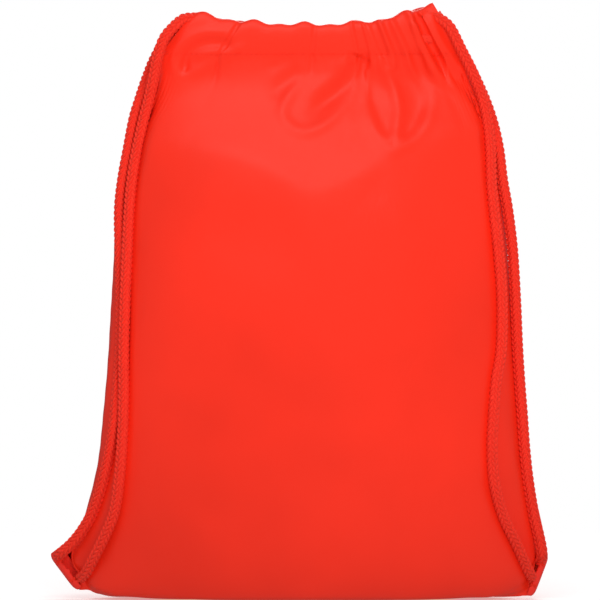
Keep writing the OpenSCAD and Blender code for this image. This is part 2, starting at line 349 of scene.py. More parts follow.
# Rows up a panel: half depth at the middle, height at the middle, height at the side, left x, right x
ROWS = np.array([
    (0.002, 0.000, 0.005, -0.1455, 0.1535), (0.016, 0.000, 0.017, -0.151, 0.157),
    (0.032, 0.000, 0.029, -0.153, 0.1595), (0.046, 0.009, 0.043, -0.148, 0.160),
    (0.056, 0.033, 0.062, -0.142, 0.157), (0.061, 0.069, 0.090, -0.1355, 0.151),
    (0.062, 0.110, 0.122, -0.132, 0.148), (0.062, 0.150, 0.156, -0.129, 0.145),
    (0.060, 0.190, 0.190, -0.127, 0.143), (0.054, 0.230, 0.224, -0.125, 0.140),
    (0.045, 0.269, 0.258, -0.1235, 0.137), (0.035, 0.303, 0.292, -0.1175, 0.131),
    (0.025, 0.331, 0.326, -0.103, 0.1225), (0.016, 0.357, 0.357, -0.094, 0.1105)])
FLANK = 2.3
HEM_ROWS = 3.5
MOUTH_HALF, MOUTH_END_HALF = 0.013, 0.006
HEM_BOTTOM_X, HEM_TOP_X = (-0.0950, 0.1095), (-0.0722, 0.090)
HEM_BOTTOM_Z, HEM_TOP_Z = 0.3585, 0.380
HEM_TOP_RISE = (0.009, 0.015)
# The hem from its left end: flat length, drawn length at the mouth's edge, number of pleats
GATHERS = {
    "front": [(0.050, 0.028, 0), (0.022, 0.007, 1), (0.062, 0.041, 0), (0.014, 0.006, 1),
              (0.028, 0.018, 0), (0.040, 0.011, 1), (0.124, 0.045, 5)],
    "back": [(0.096, 0.040, 4), (0.034, 0.026, 0), (0.080, 0.034, 3), (0.030, 0.024, 0), (0.100, 0.032, 4)]}
FACE_SIGN = {"front": -1.0, "back": 1.0}
HEM_CUT = 0.86              # the cloth narrows to this part of its width at the hem
SEWN_OUT = 0.0039           # the stitch row lies this far out from the tunnel's middle
PLEAT_SHOWN = 0.6           # how much of a pleat stands out; the rest lies folded flat
PLEAT_WIDTHS = (1.0, 0.7, 1.35, 0.8, 1.15, 0.6, 1.3, 0.9)
PLEAT_DEPTHS = (1.0, 0.45, 0.9, 1.15, 0.55, 1.0, 0.65, 1.1)
COLUMNS, PANEL_ROWS = 140, 80


def pleat_height(stretch, wave):
    """How deep a wave of pleats stands when its cloth is stretch times its drawn length."""
    x = np.linspace(0, 2 * math.pi, 200)
    low, high = 0.0, wave
    for _ in range(30):
        mid = (low + high) / 2
        run = np.sqrt(1 + (2 * math.pi * mid / wave * np.cos(x)) ** 2).mean()
        low, high = (mid, high) if run < stretch else (low, mid)
    return low


def gathered(face, s, span):
    """Drawn place (0 to 1) and pleat offset of the flat place s, on a hem that is span wide."""
    zones = GATHERS[face]
    drawn_total = sum(z[1] for z in zones)
    place, offset = np.zeros_like(s), np.zeros_like(s)
    flat_at = drawn_at = 0.0
    for flat, drawn, pleats in zones:
        inside = (s >= flat_at - 1e-9) & (s <= flat_at + flat + 1e-9)
        f = (s[inside] - flat_at) / flat
        place[inside] = (drawn_at + drawn * f) / drawn_total
        if pleats:
            width = drawn / drawn_total * span
            depth = pleat_height(max(1.0, HEM_CUT * flat / width), width / pleats)
            widths = np.array([PLEAT_WIDTHS[k % len(PLEAT_WIDTHS)] for k in range(pleats)])
            bounds = np.concatenate([[0], np.cumsum(widths)]) / widths.sum()
            turn = np.interp(f, bounds, np.arange(pleats + 1))
            which = np.minimum(turn.astype(int), pleats - 1)
            uneven = np.array([PLEAT_DEPTHS[k % len(PLEAT_DEPTHS)] for k in range(pleats)])[which]
            rounded = np.sin(math.pi * (turn - which)) ** 2
            offset[inside] = PLEAT_SHOWN * depth * (uneven * (1.5 * rounded - 0.75) + 0.1) \
                * smooth(f * pleats * 2.5) * smooth((1 - f) * pleats * 2.5)
        flat_at += flat
        drawn_at += drawn
    return place, offset


def mouth_half(u):
    return MOUTH_HALF + (MOUTH_END_HALF - MOUTH_HALF) * u * u


EDGE_WAVES = {"front": ((0.033, 0.0010, 1.0), (0.0165, 0.0008, 0.3)),
              "back": ((0.041, 0.0010, 2.0), (0.019, 0.0007, 1.3))}


def edge_wave(face, x):
    """The uneven top edge of the hem: waves by length, height and phase."""
    return sum(high * np.sin(2 * math.pi * x / long + phase) for long, high, phase in EDGE_WAVES[face])


def hem_top(u):
    """Height of the hem's top edge, which rises to both ends."""
    return HEM_TOP_Z + np.where(u < 0, *HEM_TOP_RISE) * np.abs(u) ** 2.5


def hem_point(face, s, up, out):
    """A point of the hem: s along the flat cloth, up from 0 at the stitches to 1 at the edge, out from
    the tunnel's middle."""
    s = np.asarray(s, float)
    up = np.broadcast_to(up, s.shape)
    low = HEM_BOTTOM_X[1] - HEM_BOTTOM_X[0]
    high = HEM_TOP_X[1] - HEM_TOP_X[0]
    place_low, pleat_low = gathered(face, s, low)
    place_high, pleat_high = gathered(face, s, high)
    u_low, u_high = 2 * place_low - 1, 2 * place_high - 1
    x_low = HEM_BOTTOM_X[0] + low * place_low
    x_high = HEM_TOP_X[0] + high * place_high
    z_high = hem_top(u_high) + edge_wave(face, x_high)
    x = x_low + (x_high - x_low) * up
    z = HEM_BOTTOM_Z + (z_high - HEM_BOTTOM_Z) * up
    u = u_low + (u_high - u_low) * up
    pleat = pleat_low + (pleat_high - pleat_low) * up
    y = FACE_SIGN[face] * (mouth_half(u) + out) + pleat
    return np.stack([x, y, z], -1)


def stuffed(face, s, t):
    """The stuffed shape of a panel, smooth and without folds."""
    r = t / PANEL_H * (len(ROWS) - 1)
    w = through(ROWS, r.ravel()).reshape(r.shape + (5,))
    u = 2 * s / FLAT_W - 1
    lift = np.abs(u) ** (10 - 6 * smooth(r / 5))
    close = smooth((r - (len(ROWS) - 1 - HEM_ROWS)) / HEM_ROWS) ** 2
    belly = w[..., 0] * np.clip(1 - np.abs(u) ** FLANK, 0, 1) ** 0.78
    half = belly + (mouth_half(u) - belly) * close
    x = w[..., 3] + (w[..., 4] - w[..., 3]) * (u + 1) / 2
    z = np.maximum(w[..., 1], 0) * (1 - lift) + w[..., 2] * lift
    return np.stack([x, FACE_SIGN[face] * half, z], -1)


# Flat heights from which the start shape is drawn towards the hem, and from which it has pleats
PULL_FROM, PLEATS_FROM = 0.250, 0.300
NECK_DROP = 0.985


def start_shape(face):
    """Where the cloth starts: the stuffed shape, drawn into the hem's pleats at the top."""
    s = np.linspace(0, FLAT_W, COLUMNS + 1)
    t = np.linspace(0, PANEL_H, PANEL_ROWS + 1)
    s2, t2 = np.meshgrid(s, t)
    body = stuffed(face, s2, t2)
    edge = hem_point(face, s, 0.0, SEWN_OUT)
    pull = smooth((t2 - PULL_FROM) / (PANEL_H - PULL_FROM)) ** 2
    drop = PANEL_H - t2
    neck = edge[None, :, :] * np.ones_like(body)
    neck[..., 2] -= drop * NECK_DROP
    out = body.copy()
    out[..., 0] = body[..., 0] * (1 - pull) + neck[..., 0] * pull
    keep_y = smooth((t2 - PLEATS_FROM) / (PANEL_H - PLEATS_FROM))
    pleat = edge[None, :, 1] - FACE_SIGN[face] * (mouth_half(2 * s2 / FLAT_W - 1) + SEWN_OUT)
    out[..., 1] = body[..., 1] + pleat * keep_y
    out[..., 2] = body[..., 2] * (1 - pull) + neck[..., 2] * pull
    out[-1] = edge
    return out


NARROW_FROM = 0.280         # the flat height from which the cloth narrows to the hem
PINNED_ROWS = 7             # rows of each bottom corner that stay where they start


def simulate():
    """Both panels as one cloth: cut flat, sewn at the sides and the bottom, gathered and filled."""
    shapes = {face: start_shape(face) for face in FACE_SIGN}
    rows, columns = PANEL_ROWS + 1, COLUMNS + 1
    s2, t2 = np.meshgrid(np.linspace(0, FLAT_W, columns), np.linspace(0, PANEL_H, rows))
    number = {"front": np.arange(rows * columns).reshape(rows, columns)}
    back = np.full((rows, columns), -1)
    shared = np.zeros((rows, columns), bool)
    shared[0, :] = True
    shared[:, 0] = shared[:, -1] = True
    shared[-1, :] = False
    back[shared] = number["front"][shared]
    back[~shared] = rows * columns + np.arange((~shared).sum())
    number["back"] = back
    start = shapes["front"].copy()
    start[..., 1][shared] = 0.0
    points = np.concatenate([start.reshape(-1, 3), shapes["back"][~shared]])
    narrow = 1 - (1 - HEM_CUT) * smooth((t2 - NARROW_FROM) / (PANEL_H - NARROW_FROM))
    flat = np.stack([(s2 - FLAT_W / 2) * narrow, np.zeros_like(s2), t2], -1)
    flats = np.concatenate([flat.reshape(-1, 3), flat[~shared]])
    pinned = np.zeros((rows, columns), bool)
    pinned[-1, :] = True
    pinned[:PINNED_ROWS, 0] = pinned[:PINNED_ROWS, -1] = True
    weights = np.concatenate([pinned.ravel(), pinned[~shared]])
    faces = []
    for face, grid in number.items():
        for j in range(rows - 1):
            for i in range(columns - 1):
                quad = [grid[j, i], grid[j, i + 1], grid[j + 1, i + 1], grid[j + 1, i]]
                faces.append(quad if face == "front" else quad[::-1])
    points = run_cloth(points, flats, weights, faces)
    return {face: points[grid] for face, grid in number.items()}


CLOTH_FRAMES = 24
PRESSURE = 4.0


def set_cloth(modifier, cut):
    """Thin woven cloth under even air pressure, without gravity; cut is its flat shape."""
    settings = modifier.settings
    settings.rest_shape_key = cut
    settings.vertex_group_mass = "pinned"
    settings.quality = 6
    settings.mass = 0.15
    settings.tension_stiffness = settings.compression_stiffness = 15
    settings.shear_stiffness = 5
    settings.bending_stiffness = 1.2
    settings.tension_damping = settings.compression_damping = settings.shear_damping = 5
    settings.bending_damping = 0.5
    settings.use_pressure = True
    settings.uniform_pressure_force = PRESSURE
    settings.effector_weights.gravity = 0.0
    modifier.collision_settings.distance_min = 0.001
    modifier.point_cache.frame_end = CLOTH_FRAMES


def run_cloth(points, flats, pinned, faces):
    """Where the points of the cloth are once it has been filled."""
    cloth_object = add_mesh("cloth", points, faces, FABRIC)
    ground = [(-1, -1, 0), (1, -1, 0), (1, 1, 0), (-1, 1, 0)]
    floor = add_mesh("cloth_floor", ground, [(0, 1, 2, 3)], FABRIC)
    floor.modifiers.new("collision", "COLLISION")
    floor.collision.thickness_outer = 0.001
    cloth_object.shape_key_add(name="Basis")
    cut = cloth_object.shape_key_add(name="cut")
    cut.data.foreach_set("co", flats.ravel())
    group = cloth_object.vertex_groups.new(name="pinned")
    group.add([int(i) for i in np.flatnonzero(pinned)], 1.0, "REPLACE")
    set_cloth(cloth_object.modifiers.new("cloth", "CLOTH"), cut)
    for step in range(1, CLOTH_FRAMES + 1):
        scene.frame_set(step)
    shown = cloth_object.evaluated_get(bpy.context.evaluated_depsgraph_get()).to_mesh()
    result = np.empty(len(points) * 3)
    shown.vertices.foreach_get("co", result)
    scene.frame_set(1)
    bpy.data.objects.remove(cloth_object)
    bpy.data.objects.remove(floor)
    return result.reshape(-1, 3)


panels = simulate()

# ---------------------------------------------------------------- the hem, folded over at the top

# The tunnel's section from the stitches, over the top and back: part of its height, and millimetres out
# from its middle
TUNNEL = [(0.07, 4.0), (0.17, 4.2), (0.33, 4.4), (0.52, 4.5), (0.70, 4.3), (0.85, 3.8), (0.97, 2.5),
          (1.03, 0.3), (0.99, -2.2), (0.88, -4.0), (0.70, -4.9), (0.50, -5.1), (0.30, -4.5), (0.13, -2.2),
          (0.03, 2.2)]
PLEAT_IN = 0.0008           # how far a pleat of the tunnel's wall may press in on the cords
TUNNEL_SEWN = 0.003


def wall(out, pleat):
    """A pleated wall of the tunnel: pleats stand outward, and hardly press in on the cords."""
    side = 1.0 if out > 0 else -1.0
    wave = side * pleat
    free = (wave - PLEAT_IN + np.sqrt((wave + PLEAT_IN) ** 2 + 0.0005 ** 2)) / 2
    kept = min(1.0, abs(out) / TUNNEL_SEWN)
    return out + side * (wave * (1 - kept) + free * kept)


def hem_row(face, s, up, out):
    flat = hem_point(face, s, up, 0.0)
    place_low, low = gathered(face, s, HEM_BOTTOM_X[1] - HEM_BOTTOM_X[0])
    place_high, high = gathered(face, s, HEM_TOP_X[1] - HEM_TOP_X[0])
    pleat = low + (high - low) * up
    u = 2 * (place_low + (place_high - place_low) * up) - 1
    flat[:, 1] = FACE_SIGN[face] * (mouth_half(u) + wall(out, FACE_SIGN[face] * pleat))
    return flat


BASE_RISE = (0.005, 0.001)  # how high the left and the right end of the base stand
BASE_REACH = 0.30           # the flat height over which the base is let down to the floor
BASE_CLEAR = 0.0004


def settled(face):
    """The panel let down onto the floor, its sides drawn out to the seams' places."""
    grid = panels[face].copy()
    u = np.linspace(-1, 1, COLUMNS + 1)
    t = np.linspace(0, PANEL_H, PANEL_ROWS + 1)[:, None]
    low = np.minimum(panels["front"][..., 2].min(0), panels["back"][..., 2].min(0))
    rise = np.where(u < 0, *BASE_RISE) * np.abs(u) ** 10
    grid[..., 2] -= (low - BASE_CLEAR - rise) * (1 - smooth(t / BASE_REACH))
    sides = through(ROWS, t[:, 0] / PANEL_H * (len(ROWS) - 1))
    for edge, column in ((0, 3), (-1, 4)):
        wider = sides[:, column] - grid[:, edge, 0]
        wider[-1] = 0
        share = np.clip((-u if edge == 0 else u), 0, 1) ** 1.4
        grid[..., 0] += wider[:, None] * share
    return grid


def with_hem(face):
    """The panel's grid with the tunnel's rows on top."""
    s = np.linspace(0, FLAT_W, COLUMNS + 1)
    rows = [hem_row(face, s, up, out / 1000) for up, out in TUNNEL]
    return np.concatenate([settled(face), np.stack(rows)])


NECK_ROWS = 20              # rows below the stitches over which the neck's crease is eased
NECK_PASSES = 60
FINER = 2                   # the drawn grid's steps to one of the cloth's


def spline_matrix(count):
    """Weights that turn a row of points into a finer row on their cubic B-spline."""
    fine = (count - 1) * FINER + 1
    weights = np.zeros((fine, count))
    for k in range(fine):
        at = k / FINER
        i = min(int(at), count - 2)
        f = at - i
        basis = ((1 - f) ** 3 / 6, (3 * f ** 3 - 6 * f ** 2 + 4) / 6,
                 (-3 * f ** 3 + 3 * f ** 2 + 3 * f + 1) / 6, f ** 3 / 6)
        for j, b in zip(range(i - 1, i + 3), basis):
            if j < 0:
                weights[k, 0] += 2 * b
                weights[k, 1] -= b
            elif j >= count:
                weights[k, -1] += 2 * b
                weights[k, -2] -= b
            else:
                weights[k, j] += b
    return weights


def finer(grid):
    return np.einsum("ai,ijk,bj->abk", spline_matrix(grid.shape[0]), grid, spline_matrix(grid.shape[1]))


def grid_normals(grid, face):
    normals = np.cross(np.gradient(grid, axis=1), np.gradient(grid, axis=0))
    return unit(normals) * (1.0 if face == "front" else -1.0)


def blurred(grid, times, reach):
    """The grid with its small shapes smoothed away, its edges kept."""
    out = grid.copy()
    for _ in range(times):
        calm = out.copy()
        calm[:, reach:-reach] = (out[:, 2 * reach:] + out[:, :-2 * reach] + 2 * out[:, reach:-reach]) / 4
        out = calm
    return out


def neck_eased(grid):
    """The crease under the stitch row drawn smooth, so that the hem does not overhang the cloth below."""
    row = np.arange(len(grid)) - PANEL_ROWS * FINER
    share = (smooth((row + NECK_ROWS) / 8) * smooth((5 - row) / 4))[:, None]
    out = grid.copy()
    for _ in range(NECK_PASSES):
        calm = out[..., 1].copy()
        calm[1:-1] = (out[:-2, :, 1] + 2 * out[1:-1, :, 1] + out[2:, :, 1]) / 4
        out[..., 1] += (calm - out[..., 1]) * share
    return out


# ---------------------------------------------------------------- folds

def off_line(x, z, line):
    """Distance from each place to a line of (x, z) points, and how far along the line it is (0 to 1)."""
    points = np.asarray(line, float) / 1000
    fine = through(points, np.linspace(0, len(points) - 1, 12 * len(points)))
    d2 = (x[..., None] - fine[:, 0]) ** 2 + (z[..., None] - fine[:, 1]) ** 2
    nearest = d2.argmin(-1)
    return np.sqrt(d2.min(-1)), nearest / (len(fine) - 1)


def ridge(x, z, line, height, width, start=0.25, end=0.25):
    """A rounded ridge (or, below zero, a trough) along a line, that fades out at its ends. Millimetres."""
    reach = 3 * width / 1000
    xs, zs = np.asarray(line, float).T / 1000
    near = (x > xs.min() - reach) & (x < xs.max() + reach) & (z > zs.min() - reach) & (z < zs.max() + reach)
    away, along = off_line(x[near], z[near], line)
    fade = smooth(along / max(start, 1e-3)) * smooth((1 - along) / max(end, 1e-3))
    push = np.zeros(x.shape)
    push[near] = height / 1000 * np.exp(-(away / (width / 1000)) ** 2) * fade
    return push


def hollow(x, z, outline, depth, edge):
    """A dent inside an outline, full-depth an edge's width inside it. Millimetres."""
    points = np.asarray(outline + outline[:1], float) / 1000
    inside = np.zeros(x.shape, bool)
    for (x0, z0), (x1, z1) in zip(points[:-1], points[1:]):
        crosses = (z0 > z) != (z1 > z)
        at = x0 + (z - z0) / (z1 - z0 if z1 != z0 else 1e-9) * (x1 - x0)
        inside ^= crosses & (x < at)
    away = np.full(x.shape, 1.0)
    for a, b in zip(points[:-1], points[1:]):
        run = b - a
        t = np.clip(((x - a[0]) * run[0] + (z - a[1]) * run[1]) / (run @ run), 0, 1)
        away = np.minimum(away, np.hypot(x - a[0] - t * run[0], z - a[1] - t * run[1]))
    return -depth / 1000 * smooth(np.where(inside, away, 0) / (edge / 1000))


LEAF = [(41, 352), (42, 327), (48, 310), (53, 302), (59.5, 295), (73, 302), (81, 311), (85, 322), (86, 334),
        (81, 345), (70, 354)]
DRAPE = [(40, 356), (36, 344), (29, 326), (17, 313), (8, 308.5), (-1, 308.5), (-8, 313), (-11, 320),
         (-8, 330), (-2, 339), (3, 348), (20, 352)]
LEFT_OVAL = [(-38, 367), (-50, 371), (-62, 371), (-72, 367), (-79, 359), (-80, 350), (-77, 345), (-66, 350),
             (-50, 358)]
# Ridges and troughs of the front: line of (x, z), height, width, and how fast each end fades
FRONT_FOLDS = [
    # the leaf: rim, middle crease and the hollows beside it
    ([(41, 345), (43, 325), (49, 309), (54, 301), (59.5, 295), (66, 297), (75, 303), (82, 312), (86, 323),
      (87, 335), (82, 346)], 1.3, 4.6, 0.25, 0.25),
    ([(55, 361), (58, 347), (63, 334), (65, 320), (63, 306), (60, 297)], 2.3, 4.4, 0.1, 0.15),
    ([(48, 352), (49, 335), (53, 317), (58, 304)], -0.7, 5.0, 0.3, 0.3),
    ([(68, 354), (75, 341), (78, 326), (73, 311), (65, 302)], -1.7, 7.5, 0.2, 0.25),
    # the drape: trough, its upper bank, and the rim round its foot
    ([(41, 359), (36, 348), (28, 338), (14, 326), (4, 316)], -2.8, 5.6, 0.05, 0.35),
    ([(34, 358), (24, 346), (10, 337), (-1, 328)], 1.0, 6.0, 0.15, 0.4),
    ([(40, 340), (30, 325), (18, 313.5), (8, 308), (-1, 308), (-8, 312.5), (-11, 320), (-8, 330), (-2, 339),
      (3, 349)], 1.25, 4.2, 0.25, 0.2),
    ([(-20, 329), (-13, 338), (-4, 346), (1, 352)], -1.2, 5.4, 0.3, 0.3),
    ([(-22, 350), (-13, 354), (-4, 358)], -0.7, 3.6, 0.3, 0.3),
    # the nested folds at the left end
    ([(-38, 369), (-50, 373), (-62, 374), (-74, 370), (-82, 361), (-82.5, 351), (-79, 344)],
     1.2, 3.4, 0.2, 0.15),
    ([(-40, 364), (-52, 367.5), (-63, 367), (-72, 362), (-76, 353), (-75, 347)], -1.9, 3.4, 0.2, 0.2),
    ([(-34, 366), (-48, 360), (-62, 352.5), (-74, 345)], 1.2, 3.6, 0.2, 0.3),
    ([(-48, 363), (-59, 361), (-68, 356)], 1.0, 2.6, 0.3, 0.3),
    ([(-86, 371), (-90, 361), (-91, 350)], 0.8, 3.0, 0.3, 0.3),
    # long folds from the right end
    ([(79, 386), (84, 371), (92, 358), (102, 346), (112, 334)], -2.4, 4.2, 0.05, 0.35),
    ([(85, 388), (92, 371), (101, 357), (111, 344), (119, 333)], 1.4, 3.8, 0.05, 0.35),
    ([(75, 382), (80, 366), (88, 351), (99, 339), (110, 328)], 1.5, 3.6, 0.05, 0.35),
    ([(74, 366), (80, 352), (90, 340), (102, 328)], -1.0, 4.4, 0.2, 0.4),
    # broad soft shapes lower down
    ([(-70, 250), (-30, 235), (10, 240)], -1.4, 22, 0.4, 0.4),
    ([(40, 262), (70, 240), (90, 210)], 1.6, 18, 0.4, 0.4),
    ([(20, 190), (50, 168), (80, 150)], -1.3, 17, 0.4, 0.4),
    ([(-100, 150), (-60, 128), (-20, 132)], 1.1, 16, 0.4, 0.4),
    ([(-30, 96), (10, 78), (50, 88)], -1.2, 15, 0.4, 0.4),
    ([(60, 110), (85, 85), (96, 60)], 1.2, 13, 0.4, 0.4),
    ([(-96, 70), (-70, 50), (-40, 44)], 1.0, 12, 0.4, 0.4)]
BACK_FOLDS = [
    ([(-52, 356), (-48, 330), (-36, 300), (-20, 280)], 1.8, 7.0, 0.1, 0.5),
    ([(-60, 352), (-58, 325), (-50, 298)], -2.0, 6.0, 0.1, 0.5),
    ([(20, 356), (10, 332), (-2, 312)], -2.2, 6.0, 0.1, 0.5),
    ([(26, 352), (22, 326), (20, 300), (24, 280)], 1.8, 6.5, 0.1, 0.5),
    ([(80, 354), (92, 332), (104, 306)], -1.8, 5.0, 0.1, 0.5),
    ([(-60, 220), (-10, 205), (40, 215)], -1.4, 20, 0.4, 0.4),
    ([(-80, 130), (-30, 110), (30, 120)], 1.2, 18, 0.4, 0.4),
    ([(40, 160), (75, 130), (90, 95)], -1.0, 15, 0.4, 0.4)]
# The shoulder where the taut upper cloth meets the filled belly: x and height
SHOULDER = [(-140, 300), (-95, 299), (-55, 294), (-22, 282), (8, 266), (34, 275), (62, 291), (98, 304),
            (145, 310)]
SHOULDER_H = 0.0050
SHOULDER_ABOVE, SHOULDER_BELOW = 0.030, 0.045
SHOULDER_ROUND = 0.006


def shoulder(x, z):
    """A soft ridge with a crisp top: the cloth leans back more above it and less below."""
    points = np.asarray(SHOULDER, float) / 1000
    line = through(points, np.linspace(0, len(points) - 1, 20 * len(points)))
    above = z - np.interp(x, line[:, 0], line[:, 1])
    away = np.sqrt(above ** 2 + SHOULDER_ROUND ** 2) - SHOULDER_ROUND
    return SHOULDER_H * np.exp(-away / np.where(above > 0, SHOULDER_ABOVE, SHOULDER_BELOW))


# Between the folds the simulation's pleats are calmed: below a height, over a half width, by a share
CALM_BELOW, CALM_HALF, CALM_SHARE = 0.352, 0.125, 0.85
CALM_PASSES, CALM_REACH = 40, 3


def sculpt(face, grid):
    """The panel with the pleats of the middle calmed and the folds pressed in."""
    hem_start = PANEL_ROWS * FINER
    x, z = grid[..., 0], grid[..., 2]
    if face == "front":
        calm = np.zeros(x.shape)
        for outline in (LEAF, DRAPE, LEFT_OVAL):
            calm = np.maximum(calm, -1000 * hollow(x, z, outline, 1.0, 5.0))
        below = smooth((CALM_BELOW - z) / 0.020)
        calm = np.maximum(calm, CALM_SHARE * below * smooth((CALM_HALF - np.abs(x)) / 0.020))
        calm[hem_start:] = 0
        grid = grid + (blurred(grid, CALM_PASSES, CALM_REACH) - grid) * calm[..., None]
    normals = grid_normals(grid, face)
    x, z = grid[..., 0], grid[..., 2]
    push = sum(ridge(x, z, *fold) for fold in (FRONT_FOLDS if face == "front" else BACK_FOLDS))
    if face == "front":
        push = push + hollow(x, z, LEAF, 0.8, 8.0) + shoulder(x, z)
    fade = np.ones(len(grid))
    fade[hem_start + 5 * FINER:] = np.linspace(1, 0, len(grid) - hem_start - 5 * FINER)
    fade[hem_start + 8 * FINER:] = 0
    push = push * fade[:, None]
    sides = smooth(np.minimum(np.arange(grid.shape[1]), np.arange(grid.shape[1])[::-1]) / 10)
    return grid + normals * (push * sides)[..., None]


# ---------------------------------------------------------------- where the cords press the cloth in

CORD_ROOM = CORD_D / 2 + 0.0004
GROOVE_SLOPE = 0.75
PRESS_TOP = 0.350
PRESS_MOST = 0.009
NEAR_CORD = 0.012           # cloth outside this reach of a cord is left alone
SUNK_MOST = 0.008           # a cord sunk deeper than this lies on the other panel
OTHER_SIDE = 0.004          # a cord this far behind the middle leaves this panel alone
INWARD_PASSES, BANK_PASSES = 24, 9
BANK_STEEP = 0.5            # how much of a groove keeps its steep bank
PANELS_APART = 0.0005       # a pressed panel stays this far on its own side of the middle


def press(grid, face, line):
    """How far the cloth is pushed in under a cord that lies on it, at every point of the grid."""
    normals = grid_normals(grid, face)
    low, high = line.min(0) - NEAR_CORD, line.max(0) + NEAR_CORD
    near = np.all((grid > low) & (grid < high), axis=-1)
    near[(PANEL_ROWS + 2) * FINER:] = False
    push = np.zeros(grid.shape[:2])
    points, n = grid[near], normals[near]
    coarse = line[::6]
    nearest = ((points[:, None, :] - coarse[None]) ** 2).sum(-1).argmin(1)
    gap = coarse[nearest] - points
    out = (gap * n).sum(-1)
    beside = np.linalg.norm(gap - out[:, None] * n, axis=-1)
    steep = CORD_ROOM * 0.8
    wanted = np.where(beside < steep, np.sqrt(np.maximum(CORD_ROOM ** 2 - beside ** 2, 0)),
                      CORD_ROOM * 0.6 - GROOVE_SLOPE * (beside - steep))
    kept = smooth((out + SUNK_MOST) / 0.003) * smooth((PRESS_TOP - points[:, 2]) / 0.006)
    kept *= smooth((FACE_SIGN[face] * coarse[nearest, 1] + OTHER_SIDE) / OTHER_SIDE)
    push[near] = np.clip(wanted - out, 0, PRESS_MOST) * kept
    return push


def evened(values, times):
    """Values on a grid, each averaged with its neighbours some times over."""
    soft = values.copy()
    for _ in range(times):
        soft[1:-1] = (soft[:-2] + 2 * soft[1:-1] + soft[2:]) / 4
        soft[:, 1:-1] = (soft[:, :-2] + 2 * soft[:, 1:-1] + soft[:, 2:]) / 4
    return soft


def pressed(grid, face):
    """The cloth with the grooves of all four cords, their banks eased."""
    for line in strands.values():
        push = press(grid, face, line)
        inward = unit(evened(grid_normals(grid, face), INWARD_PASSES))
        moved = grid - inward * np.maximum(push * BANK_STEEP, evened(push, BANK_PASSES))[..., None]
        own_side = np.minimum(FACE_SIGN[face] * grid[..., 1], PANELS_APART)
        moved[..., 1] = FACE_SIGN[face] * np.maximum(FACE_SIGN[face] * moved[..., 1], own_side)
        grid = moved
    return grid


# ---------------------------------------------------------------- seams and stitches in the cloth

SEAM_DIP, SEAM_REACH = 0.0016, 0.0045
PUCKER_PITCH, PUCKER_DEPTH = 0.016, 0.05


def seam_dip(grid):
    """Pull both side seams in, with the small puckers that their stitches make."""
    rows = np.arange(len(grid))[:, None]
    out = grid.copy()
    for edge, sign in ((0, 1.0), (-1, -1.0)):
        column = grid[:, edge]
        along = distances(column)
        away = np.linalg.norm(grid - column[:, None], axis=-1)
        pucker = 1 + PUCKER_DEPTH * np.sin(2 * math.pi * along / PUCKER_PITCH + 1.3 * np.sin(along * 61))
        dip = SEAM_DIP * np.exp(-(away / SEAM_REACH) ** 2) * pucker[:, None]
        dip *= smooth((len(grid) - 1 - rows) / 12) * smooth(rows / 8)
        out[..., 0] += sign * dip
    return out


STITCH_PUCKER, STITCH_PUCKER_PITCH = 0.0002, 0.0068


def stitch_dip(grid, face):
    """Press the stitch row of the hem in, in small puckers."""
    row = PANEL_ROWS * FINER
    normals = grid_normals(grid, face)
    along = distances(grid[row])
    wave = np.sin(2 * math.pi * along / STITCH_PUCKER_PITCH + 2 * np.sin(along * 47))
    pucker = STITCH_PUCKER * (1 + 0.8 * wave)
    for k in range(-3, 4):
        grid[row + k] -= normals[row + k] * (pucker * math.exp(-(k / 1.8) ** 2))[:, None]
    return grid


JOIN_COLUMNS = 10           # how far from a side seam the two panels are drawn together


def join_sides(front, back):
    """Bring both panels to one line at each side seam, up to the foot of the mouth."""
    rows = np.arange(len(front))
    share = smooth((PANEL_ROWS * FINER - 3 - rows) / 4)[:, None]
    columns = np.arange(front.shape[1])
    for edge, away in ((0, columns), (-1, columns[::-1])):
        fall = (1 - smooth(away / JOIN_COLUMNS))[None, :, None]
        shift = (back[:, edge] - front[:, edge]) / 2 * share
        front += shift[:, None] * fall
        back -= shift[:, None] * fall


def finished_grids():
    shaped = {}
    for face in FACE_SIGN:
        grid = sculpt(face, neck_eased(finer(with_hem(face))))
        shaped[face] = stitch_dip(pressed(seam_dip(grid), face), face)
    join_sides(shaped["front"], shaped["back"])
    return shaped


grids = finished_grids()

# ---------------------------------------------------------------- panels and hems

HALVES_MEET_X = 0.003


def strip(name, grid, normals, material, flip):
    rows, columns = grid.shape[:2]
    k = np.arange(rows * columns).reshape(rows, columns)
    quads = np.stack([k[:-1, :-1], k[:-1, 1:], k[1:, 1:], k[1:, :-1]], -1).reshape(-1, 4)
    piece = add_mesh(name, grid.reshape(-1, 3), quads[:, ::-1] if flip else quads, material)
    if normals is not None:
        piece.data.normals_split_custom_set_from_vertices(normals.reshape(-1, 3).tolist())
    return piece


def make_fabric():
    hem_start = PANEL_ROWS * FINER
    for face, grid in grids.items():
        normals = grid_normals(grid, face)
        middle = int(np.abs(grid[hem_start, :, 0] - HALVES_MEET_X).argmin())
        halves = {"left": slice(0, middle + 1), "right": slice(middle, None)}
        for side, columns in halves.items():
            flip = face == "back"
            panel = strip(f"{face}_panel_{side}_half", grid[:hem_start + 1, columns],
                          normals[:hem_start + 1, columns], FABRIC, flip)
            hem = strip(f"{face}_hem_{side}_half", grid[hem_start:, columns], normals[hem_start:, columns],
                        FABRIC, flip)
            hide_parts(f"{face}_panel")
            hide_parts(f"{face}_hem")
            for piece in (panel, hem):
                draw_with(piece)


make_fabric()

# ---------------------------------------------------------------- threads


